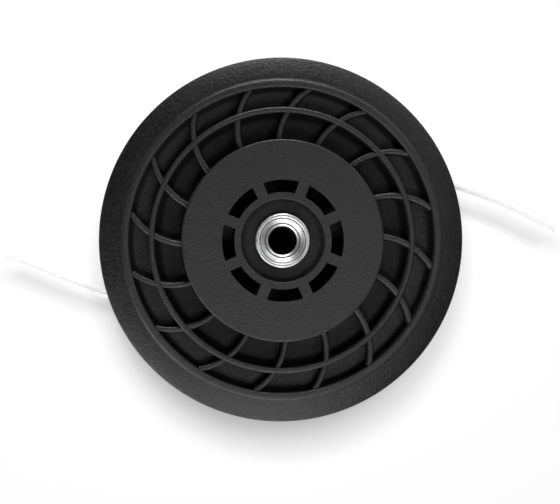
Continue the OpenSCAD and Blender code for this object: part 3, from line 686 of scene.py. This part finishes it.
eyelet_steel = bright_steel("eyelet_steel", STEEL_GREY, STEEL_BRIGHT, 0.12)
for side in (1, 2):
    sleeve = turned([
        (EYELET_BORE_R, SLEEVE_IN, 0.5 * MM), (EYELET_SLEEVE_R, SLEEVE_IN, 0.2 * MM),
        (EYELET_SLEEVE_R, BOSS_FACE, 0), (FLANGE_D / 2, BOSS_FACE, 0.15 * MM),
        (FLANGE_D / 2, MOUTH, 0.4 * MM), (EYELET_BORE_R, MOUTH, 0.8 * MM)], steps=64)
    piece(f"eyelet_sleeve_{side}", along_line(sleeve, side), eyelet_steel, "housing",
          [f"eyelet_{side}"])


# ------------------------------------------------------------------------------
# Bump spring: a compression spring with closed ends round the post, between a seat washer in the
# hub and a thrust washer in the well of the spool. Taps of the knob press it.
# ------------------------------------------------------------------------------
SPRING_WIRE, SPRING_R, SPRING_TURNS = 1.6 * MM, 13.5 * MM, 6
SPRING_LOW, SPRING_HIGH = 37.2 * MM, 53.2 * MM
BUMP_TRAVEL = 5 * MM
CLOSED_TURN, CLOSED_PITCH = 0.75, 1.1
WIRE_GREY = (0.25, 0.25, 0.26, 1)
WIRE_BRIGHT = (0.5, 0.5, 0.52, 1)


def coil(radius, wire, length, turns, steps=32):
    """Points of a coil spring that stands on the origin, with a closed turn at each end."""
    run = length - wire
    closed_rise = wire * CLOSED_PITCH
    points = []
    for number in range(turns * steps + 1):
        turn = number / steps
        rise = closed_rise * (min(turn, CLOSED_TURN) + max(turn - turns + CLOSED_TURN, 0)) / CLOSED_TURN
        middle = min(max((turn - CLOSED_TURN) / (turns - 2 * CLOSED_TURN), 0), 1)
        height = wire / 2 + rise + (run - 2 * closed_rise) * middle
        points.append(on_circle(math.tau * turn, radius, height))
    return points


def dress(node, material):
    """Gives a node of the solid model its finish."""
    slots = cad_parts[node].data.materials
    slots.clear()
    slots.append(material)


spring_steel = bright_steel("spring_steel", WIRE_GREY, WIRE_BRIGHT, 0.25)
washer_steel = bright_steel("washer_steel", STEEL_GREY, STEEL_BRIGHT, 0.2)
route = [point + Vector((0, 0, SPRING_LOW))
         for point in coil(SPRING_R, SPRING_WIRE, SPRING_HIGH - SPRING_LOW, SPRING_TURNS)]
feed_spring = piece("feed_spring", rod(route, SPRING_WIRE, rounds=4), spring_steel, "feed_carriage",
                    ["bump_spring"])
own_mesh(feed_spring)
dress("spring_seat", washer_steel)
dress("thrust_washer", washer_steel)


# ------------------------------------------------------------------------------
# Spool: plain black nylon with two chambers, a divider and index teeth on both end faces.
# The teeth catch the cover below and the webs of the housing above, so that it feeds in steps.
# ------------------------------------------------------------------------------
SPOOL_R, CORE_R, DIVIDER_R = 48.5 * MM, 20 * MM, 38 * MM
SPOOL_FOOT, SPOOL_FOOT_R, SPOOL_LOW, SPOOL_TOP = 18.5 * MM, 18 * MM, 22 * MM, 43.6 * MM
LOW_CHAMBER = (23.8 * MM, 32.2 * MM)
HIGH_CHAMBER = (33.4 * MM, 41.8 * MM)
SPOOL_WEB, SPOOL_WELL = 24 * MM, 36 * MM
WELL_R, SPOOL_BORE_R, SCREW_BORE_R = 15.25 * MM, 12.3 * MM, 2.55 * MM
TEETH, TOOTH_IN, TOOTH_OUT, TOOTH_HALF = 8, 29 * MM, 33 * MM, 2.5 * MM
LOW_TOOTH, HIGH_TOOTH, TOOTH_SINK = 2.2 * MM, 3.4 * MM, 0.5 * MM
SPOOL_BLACK = (0.005, 0.005, 0.0052, 1)
SPOOL_WORN = (0.014, 0.014, 0.015, 1)


def teeth(low, high):
    """A ring of index teeth between two heights."""
    ring = bmesh.new()
    for number in range(TEETH):
        tooth = block((TOOTH_IN, -TOOTH_HALF, low), (TOOTH_OUT, TOOTH_HALF, high), 0.25 * MM)
        add_shape(ring, swung(tooth, math.tau * number / TEETH))
    return ring


def plain_nylon(name, dark, pale):
    """Unfilled nylon with a silky skin, a little clouded and scuffed."""
    finish = Finish(name, Specular_IOR_Level=0.35)
    cloud = finish.grain(6 * MM, detail=3)
    scuffs = finish.grain(0.4 * MM, detail=3, roughness=0.7)
    finish.feed("Base Color", finish.colour_mix((cloud * 0.6 + scuffs * 0.4).between(0.3, 0.7), dark, pale))
    finish.feed("Roughness", cloud * 0.1 + scuffs * 0.15 + 0.45)
    finish.bump(scuffs, 0.02 * MM)
    return finish.material


spool_nylon = plain_nylon("spool_nylon", SPOOL_BLACK, SPOOL_WORN)
spool = turned([
    (SCREW_BORE_R, SPOOL_FOOT, 0), (SPOOL_FOOT_R, SPOOL_FOOT, 0.4 * MM),
    (SPOOL_FOOT_R, SPOOL_LOW, 0.4 * MM), (SPOOL_R, SPOOL_LOW, 0.6 * MM),
    (SPOOL_R, LOW_CHAMBER[0], 0.6 * MM), (CORE_R, LOW_CHAMBER[0], 0.8 * MM),
    (CORE_R, LOW_CHAMBER[1], 0.8 * MM), (DIVIDER_R, LOW_CHAMBER[1], 0.4 * MM),
    (DIVIDER_R, HIGH_CHAMBER[0], 0.4 * MM), (CORE_R, HIGH_CHAMBER[0], 0.8 * MM),
    (CORE_R, HIGH_CHAMBER[1], 0.8 * MM), (SPOOL_R, HIGH_CHAMBER[1], 0.6 * MM),
    (SPOOL_R, SPOOL_TOP, 0.6 * MM), (WELL_R, SPOOL_TOP, 0.3 * MM), (WELL_R, SPOOL_WELL, 0),
    (SPOOL_BORE_R, SPOOL_WELL, 0.2 * MM), (SPOOL_BORE_R, SPOOL_WEB, 0), (SCREW_BORE_R, SPOOL_WEB, 0)])
add_shape(spool, teeth(SPOOL_LOW - LOW_TOOTH, SPOOL_LOW + TOOTH_SINK))
add_shape(spool, teeth(SPOOL_TOP - TOOTH_SINK, SPOOL_TOP + HIGH_TOOTH))
piece("line_spool", spool, spool_nylon, "spool_unit", ["spool"])


# ------------------------------------------------------------------------------
# Windings and leads: thick line wound turn by turn on the core in four layers to a chamber. From
# the last turn of each winding a lead runs out to its eyelet.
# ------------------------------------------------------------------------------
LAYERS, LAYER_TURNS, WINDING_STEPS = 4, 3, 40
WINDING_OUT = 28.05 * MM
WINDING_IN = CORE_R + LINE_D / 2 + 0.05 * MM
WINDING_PLAY, STEP_OUT = 0.15 * MM, 0.25
LEAD_WRAP, LEAD_TURN, LEAD_STEP = 50, 4, 1.5 * MM
RAMP_START = math.sqrt((DIVIDER_R + LINE_D / 2 + 0.2 * MM) ** 2 - WOUND_R ** 2)
RAMP_END = SLEEVE_IN - 0.5 * MM


def wound(chamber):
    """Points of the line from the core outwards, layer over layer, up and down in the chamber."""
    low, high = chamber[0] + WINDING_PLAY + LINE_D / 2, chamber[1] - WINDING_PLAY - LINE_D / 2
    points = []
    for number in range(LAYERS * LAYER_TURNS * WINDING_STEPS + 1):
        turn = number / WINDING_STEPS
        layer, climb = divmod(turn / LAYER_TURNS, 1)
        rise = climb if layer % 2 == 0 else 1 - climb
        step_out = max(climb * LAYER_TURNS - LAYER_TURNS + STEP_OUT, 0) / STEP_OUT
        radius = WINDING_IN + (WINDING_OUT - WINDING_IN) * min((layer + step_out) / (LAYERS - 1), 1)
        points.append(on_circle(math.tau * turn, radius, low + (high - low) * rise))
    return points


def lead(side, chamber):
    """Points of the line from the last turn to the mouth of its eyelet."""
    drop = chamber[0] + BUMP_TRAVEL + (chamber[1] - chamber[0] - BUMP_TRAVEL) / 2 - EYELET_HEIGHT
    points = []
    for degrees in range(LEAD_WRAP, 0, -LEAD_TURN):
        turn = math.radians(degrees)
        points.append(on_line(side, -WOUND_R * math.sin(turn), WOUND_R * (math.cos(turn) - 1), drop))
    steps = round(MOUTH / LEAD_STEP)
    for number in range(steps + 1):
        way = MOUTH * number / steps
        ramp = min(max((way - RAMP_START) / (RAMP_END - RAMP_START), 0), 1)
        points.append(on_line(side, way, 0, drop * (1 + math.cos(math.pi * ramp)) / 2))
    return points


for name, chamber in (("upper", HIGH_CHAMBER), ("lower", LOW_CHAMBER)):
    piece(f"wound_line_{name}", rod(wound(chamber), LINE_D, rounds=3), line_nylon, "spool_unit",
          [f"winding_{name}"])
for side, chamber in ((1, HIGH_CHAMBER), (2, LOW_CHAMBER)):
    piece(f"lead_of_line_{side}", rod(lead(side, chamber), LINE_D), line_nylon, "housing",
          [f"line_lead_{side}"])


# ------------------------------------------------------------------------------
# Lower cover: a shallow cap of black nylon that closes the skirt. Its collar guides the knob, its
# teeth index the spool, and two channels guide the latch buttons.
# ------------------------------------------------------------------------------
COVER_R, COVER_RIM_IN, COVER_HOLE_R, COLLAR_R = 51.7 * MM, 49.3 * MM, 26.1 * MM, 28.5 * MM
COVER_LOW, COVER_FLOOR, COVER_RIM_TOP = 15 * MM, 17.5 * MM, 24 * MM
COLLAR_TOP, COVER_TEETH_TOP = 21.6 * MM, 19.4 * MM
GUIDE_IN, GUIDE_T, GUIDE_GAP = 33.6 * MM, 1.8 * MM, 7.3 * MM
GUIDE_SINK, GUIDE_EDGE = 0.5 * MM, 0.2 * MM
cover = turned([
    (COVER_HOLE_R, COVER_LOW, 0.5 * MM), (COVER_R, COVER_LOW, 0.9 * MM), (COVER_R, COVER_FLOOR, 0),
    (COVER_R, LATCH_HIGH, 0), (COVER_R, COVER_RIM_TOP, 0.4 * MM), (COVER_RIM_IN, COVER_RIM_TOP, 0.4 * MM),
    (COVER_RIM_IN, LATCH_HIGH, 0), (COVER_RIM_IN, COVER_FLOOR + PLAY, 0),
    (COLLAR_R, COVER_FLOOR + PLAY, 0.4 * MM), (COLLAR_R, COLLAR_TOP, 0.3 * MM),
    (COVER_HOLE_R, COLLAR_TOP, 0.5 * MM)])
for side in (1, 2):
    open_for_latch(cover, side)
    angle = LATCH_ANGLE + math.pi * (side - 1)
    for way in (-1, 1):
        near, far = sorted((way * GUIDE_GAP, way * (GUIDE_GAP + GUIDE_T)))
        wall = block((GUIDE_IN, near, COVER_FLOOR - GUIDE_SINK), (COVER_RIM_IN, far, COLLAR_TOP),
                     GUIDE_EDGE)
        add_shape(cover, swung(wall, angle))
    wall = block((GUIDE_IN, -GUIDE_GAP - GUIDE_SINK, COVER_FLOOR - GUIDE_SINK),
                 (GUIDE_IN + GUIDE_T, GUIDE_GAP + GUIDE_SINK, COLLAR_TOP), GUIDE_EDGE)
    add_shape(cover, swung(wall, angle))
add_shape(cover, swung(teeth(COVER_FLOOR - TOOTH_SINK, COVER_TEETH_TOP), EYELET_ANGLE))
piece("closing_cover", cover, black_nylon, "housing", ["lower_cover"])


# ------------------------------------------------------------------------------
# Latches: two finger buttons of plain black nylon with grip grooves. Each slides in a channel of the
# cover, is pushed out by a small spring, and holds the cover in a window of the skirt.
# ------------------------------------------------------------------------------
LATCH_TIP, LATCH_BACK, LATCH_HALF = 55.8 * MM, 43 * MM, 7 * MM
BUTTON_LOW, BUTTON_HIGH = 17.8 * MM, 21.1 * MM
GROOVES, GROOVE_HALF, GROOVE_DEPTH = 4, 0.4 * MM, 0.5 * MM
LATCH_WIRE, LATCH_COIL_R, LATCH_COIL_TURNS = 0.5 * MM, 1.2 * MM, 5
LATCH_SPRING_IN = 35.4 * MM
POCKET_DEPTH, POCKET_PLAY = 1 * MM, 0.1 * MM
BUTTON_EDGE = 0.15 * MM


def latch_button():
    """A flat button with a curved, grooved outer face and a pocket for its spring in the back."""
    places = []
    for groove in range(1, GROOVES + 1):
        middle = LATCH_HALF * (2 * groove / (GROOVES + 1) - 1)
        for across, depth in ((-GROOVE_HALF, 0), (-GROOVE_HALF, GROOVE_DEPTH), (GROOVE_HALF, GROOVE_DEPTH),
                              (GROOVE_HALF, 0)):
            places.append((middle + across, depth))
    edge = [(-LATCH_HALF, 0), *places, (LATCH_HALF, 0)]
    outline = [(LATCH_BACK, -LATCH_HALF)] + [
        (math.sqrt((LATCH_TIP - depth) ** 2 - across ** 2), across) for across, depth in edge
    ] + [(LATCH_BACK, LATCH_HALF)]
    shape = bmesh.new()
    corners = [shape.verts.new((along, across, BUTTON_LOW)) for along, across in outline]
    foot = shape.faces.new(corners)
    raised = bmesh.ops.extrude_face_region(shape, geom=[foot])["geom"]
    bmesh.ops.translate(shape, verts=[part for part in raised if isinstance(part, bmesh.types.BMVert)],
                        vec=(0, 0, BUTTON_HIGH - BUTTON_LOW))
    bmesh.ops.bevel(shape, geom=shape.edges[:], offset=BUTTON_EDGE, offset_type="OFFSET", segments=2,
                    profile=0.5, affect="EDGES", material=-1)
    back = min(shape.faces, key=lambda face: face.calc_center_median().x)
    border = back.edges[:]
    bmesh.ops.delete(shape, geom=[back], context="FACES_ONLY")
    middle = Vector((LATCH_BACK, 0, (BUTTON_LOW + BUTTON_HIGH) / 2))
    hole = bmesh.ops.create_circle(
        shape, segments=24, radius=LATCH_COIL_R + LATCH_WIRE / 2 + POCKET_PLAY,
        matrix=Matrix.Translation(middle) @ Matrix.Rotation(math.pi / 2, 4, "Y"))["verts"]
    ring = list({edge for point in hole for edge in point.link_edges})
    bmesh.ops.triangle_fill(shape, edges=border + ring, use_beauty=True)
    sunk = bmesh.ops.extrude_edge_only(shape, edges=ring)["geom"]
    bmesh.ops.translate(shape, verts=[part for part in sunk if isinstance(part, bmesh.types.BMVert)],
                        vec=(POCKET_DEPTH, 0, 0))
    bmesh.ops.contextual_create(shape, geom=[part for part in sunk if isinstance(part, bmesh.types.BMEdge)])
    bmesh.ops.recalc_face_normals(shape, faces=shape.faces)
    return shape


for side in (1, 2):
    angle = LATCH_ANGLE + math.pi * (side - 1)
    outward = on_circle(angle)
    piece(f"finger_latch_{side}", swung(latch_button(), angle), spool_nylon, f"latch_{side}",
          [f"latch_button_{side}"])
    length = LATCH_BACK + POCKET_DEPTH - LATCH_SPRING_IN
    lying = Matrix((Vector((0, 0, -1)), on_circle(angle + math.pi / 2), outward)).transposed()
    start = LATCH_SPRING_IN * outward + Vector((0, 0, (BUTTON_LOW + BUTTON_HIGH) / 2))
    standing = coil(LATCH_COIL_R, LATCH_WIRE, length, LATCH_COIL_TURNS, 20)
    route = [start + lying @ point for point in standing]
    spring = piece(f"finger_spring_{side}", rod(route, LATCH_WIRE, rounds=2), spring_steel, f"latch_{side}",
                   [f"latch_spring_{side}"])
    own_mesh(spring)


# ------------------------------------------------------------------------------
# Bump knob: the fluted cap of black nylon that is tapped on the ground, worn paler on its foot. A
# socket screw with a washer holds it on the spool.
# ------------------------------------------------------------------------------
KNOB_R, KNOB_TOP, KNOB_WALL = 25.5 * MM, 19.5 * MM, 3 * MM
KNOB_IN, FLOOR_R, POST_OUT, KEY_R, FOOT_R = KNOB_R - KNOB_WALL, 16.5 * MM, 8 * MM, 6.9 * MM, 14 * MM
WALL_FOOT, KNOB_FLOOR, SPOOL_SEAT, KEY_TOP = 11 * MM, 5.5 * MM, 18.5 * MM, 20.5 * MM
WALL_STEP, WALL_RINGS = 0.5 * MM, range(19, 39)
DOME = [(10.6, 0.35), (8.6, 1.05), (6.4, 1.95), (4.4, 3.1), (2.8, 4.35), (1.6, 5.7), (0.75, 7.1),
        (0.2, 8.4)]
FLUTES, FLUTE_R, FLUTE_AWAY = 12, 2.6 * MM, 27.1 * MM
FLUTE_LOW, FLUTE_HIGH = 6.5 * MM, 14 * MM
FLUTE_EASE = 1.5 * MM
SCREW_RECESS_R, SCREW_SEAT, SCREW_HOLE_R = 5.25 * MM, 5 * MM, 2.75 * MM
KNOB_SCRAPED = (0.11, 0.11, 0.112, 1)


def worn_nylon():
    """Black nylon that is scraped grey where it meets the ground."""
    finish = Finish("worn_nylon", IOR=1.5)
    specks = finish.grain(0.55 * MM, detail=3, roughness=0.7)
    scrapes = finish.grain(1.2 * MM, detail=4, stretch=(0.3, 1, 1), roughness=0.7)
    height = finish.split(finish.place)[2]
    worn = (1 - height.between(0.2 * MM, 5 * MM)) * scrapes.between(0.42, 0.62)
    finish.feed("Base Color", finish.colour_mix(specks * 0.3 + worn * 0.7, BLACK, KNOB_SCRAPED))
    finish.feed("Roughness", specks * 0.14 + worn * 0.25 + 0.42)
    finish.bump(specks + scrapes * worn * 1.5, 0.04 * MM)
    return finish.material


def fluted(shape):
    """Sinks the grip flutes into the wall of the knob, eased out at both of their ends."""
    for point in shape.verts:
        flat = point.co.to_2d()
        if flat.length < KNOB_R - KNOB_WALL / 2 or not FLUTE_LOW < point.co.z < FLUTE_HIGH:
            continue
        turn = math.atan2(flat.y, flat.x) * FLUTES / math.tau
        aside = FLUTE_AWAY * math.sin((turn - round(turn)) * math.tau / FLUTES)
        if abs(aside) < FLUTE_R:
            ease = min(point.co.z - FLUTE_LOW, FLUTE_HIGH - point.co.z, FLUTE_EASE) / FLUTE_EASE
            bite = FLUTE_AWAY - math.sqrt(FLUTE_R ** 2 - aside ** 2)
            depth = max(flat.length - bite, 0) * math.sqrt(1 - (1 - ease) ** 2)
            point.co.xy = flat * (1 - depth / flat.length)
    return shape


knob = turned([
    (SCREW_HOLE_R, KEY_TOP, 0), (SCREW_HOLE_R, SCREW_SEAT, 0), (SCREW_RECESS_R, SCREW_SEAT, 0.2 * MM),
    (SCREW_RECESS_R, 0, 0.4 * MM), (FOOT_R, 0, 0.5 * MM),
    *[(KNOB_R - inset * MM, height * MM, 0) for inset, height in DOME],
    *[(KNOB_R, ring * WALL_STEP, 0) for ring in WALL_RINGS],
    (KNOB_R, KNOB_TOP, 0.4 * MM), (KNOB_IN, KNOB_TOP, 0.4 * MM), (KNOB_IN, WALL_FOOT, 1 * MM),
    (FLOOR_R, KNOB_FLOOR, 1 * MM), (POST_OUT, KNOB_FLOOR, 0.5 * MM), (POST_OUT, SPOOL_SEAT, 0.2 * MM),
    (KEY_R, SPOOL_SEAT, 0), (KEY_R, KEY_TOP, 0)], steps=FLUTES * 24)
piece("tap_knob", fluted(knob), worn_nylon(), "spool_unit", ["bump_knob"])
dress("knob_screw", washer_steel)
dress("knob_washer", washer_steel)

# ------------------------------------------------------------------------------
# Stage: a plain white table, which keeps the soft shadow of the head. Eight soft lamps at three
# heights light the head and not the table; a far and a near lamp light only the table.
# ------------------------------------------------------------------------------
TABLE_HALF = 30
TABLE_GLOW = 0.47
TABLE_WHITE = (0.8, 0.8, 0.8, 1)
WHITE = (1, 1, 1, 1)
ROOM, ROOM_SHINE = 0.02, 0.08
FAR_POWER, FAR_WIDTH, FAR_TURN = 0.9, math.radians(8), math.radians(8)
FAR_AWAY, FAR_HEIGHT = 0.24, 1.1
NEAR_TURN, NEAR_POWER = 15, 1.45
NEAR_RING = ((0.1, 0.1), 0.13, 0.57)
LOW_RING = ((0.25, 0.25), 0.65, 0.22)
MIDDLE_RING = ((0.4, 0.25), 0.55, 0.45)
HIGH_RING = ((0.3, 0.3), 0.42, 0.9)
HEAD_LAMPS = [
    ("top_strip", 0, 4.5, LOW_RING), ("corner_strip", -45, 0.85, LOW_RING),
    ("left_strip", 135, 2.6, LOW_RING), ("bottom_strip", 180, 1.2, LOW_RING),
    ("corner_box", -45, 0.2, MIDDLE_RING), ("bottom_box", 180, 1.2, MIDDLE_RING),
    ("high_right", -90, 0.95, HIGH_RING), ("high_bottom", 180, 2.3, HIGH_RING)]


def rays(nodes):
    """Whether a ray is of the camera, glossy, or transmitted: 1 or 0 for each."""
    return [nodes.node("ShaderNodeLightPath", output=f"Is {kind} Ray")
            for kind in ("Camera", "Glossy", "Transmission")]


def table_top():
    """Matt white; a share of its light is its own, so that it reads as white paper."""
    finish = Finish("white_table", Base_Color=TABLE_WHITE, Roughness=0.9, Specular_IOR_Level=0.1)
    seen, glossy, clear = rays(finish)
    strength = (seen + glossy + clear) * TABLE_GLOW
    glow = finish.node("ShaderNodeEmission", values={"Color": WHITE, "Strength": strength})
    both = finish.node("ShaderNodeAddShader", values=(Value(finish, finish.shader.outputs[0]), glow))
    finish.tree.links.new(both.socket, finish.tree.nodes["Material Output"].inputs["Surface"])
    return finish.material


def lit_by(name, link_state):
    """What a lamp lights: with INCLUDE only the table, with EXCLUDE all but the table."""
    lit = bpy.data.collections.new(name)
    lit.objects.link(table_object)
    lit.collection_objects[0].light_linking.link_state = link_state
    return lit


def hang(lamp, place, lit):
    """Hangs a lamp at a place, turned to the head; it lights only what it is given."""
    holder = bpy.data.objects.new(lamp.name, lamp)
    holder.location = place
    holder.rotation_euler = (place - AIM).to_track_quat("Z", "Y").to_euler()
    holder.light_linking.receiver_collection = lit
    scene.collection.objects.link(holder)


def soft_light(name, turn, power, ring, lit):
    """A soft box of a ring round the head, turned in degrees from the upper side of the view."""
    size, away, height = ring
    lamp = bpy.data.lights.new(name, "AREA")
    lamp.shape = "RECTANGLE"
    lamp.size, lamp.size_y = size
    lamp.energy = power
    hang(lamp, on_circle(PICTURE_UP + math.radians(turn), away, height), lit)


table = bmesh.new()
bmesh.ops.create_grid(table, x_segments=1, y_segments=1, size=TABLE_HALF)
table_mesh = bpy.data.meshes.new("table")
table.to_mesh(table_mesh)
table.free()
table_mesh.materials.append(table_top())
table_object = bpy.data.objects.new("table", table_mesh)
scene.collection.objects.link(table_object)

world = bpy.data.worlds.new("room")
scene.world = world
world.use_nodes = True
backdrop = world.node_tree.nodes["Background"]
backdrop.inputs["Color"].default_value = WHITE
seen, glossy, clear = rays(Nodes(world.node_tree))
strength = (seen + clear) * (1 - ROOM) + glossy * ROOM_SHINE + ROOM
world.node_tree.links.new(strength.socket, backdrop.inputs["Strength"])

on_head, on_table = lit_by("all_but_table", "EXCLUDE"), lit_by("table_only", "INCLUDE")
far_light = bpy.data.lights.new("far_light", "SUN")
far_light.energy = FAR_POWER
far_light.angle = FAR_WIDTH
hang(far_light, AIM + on_circle(PICTURE_UP + FAR_TURN, FAR_AWAY, FAR_HEIGHT), on_table)
soft_light("near_light", NEAR_TURN, NEAR_POWER, NEAR_RING, on_table)
for name, turn, power, ring in HEAD_LAMPS:
    soft_light(name, turn, power, ring, on_head)
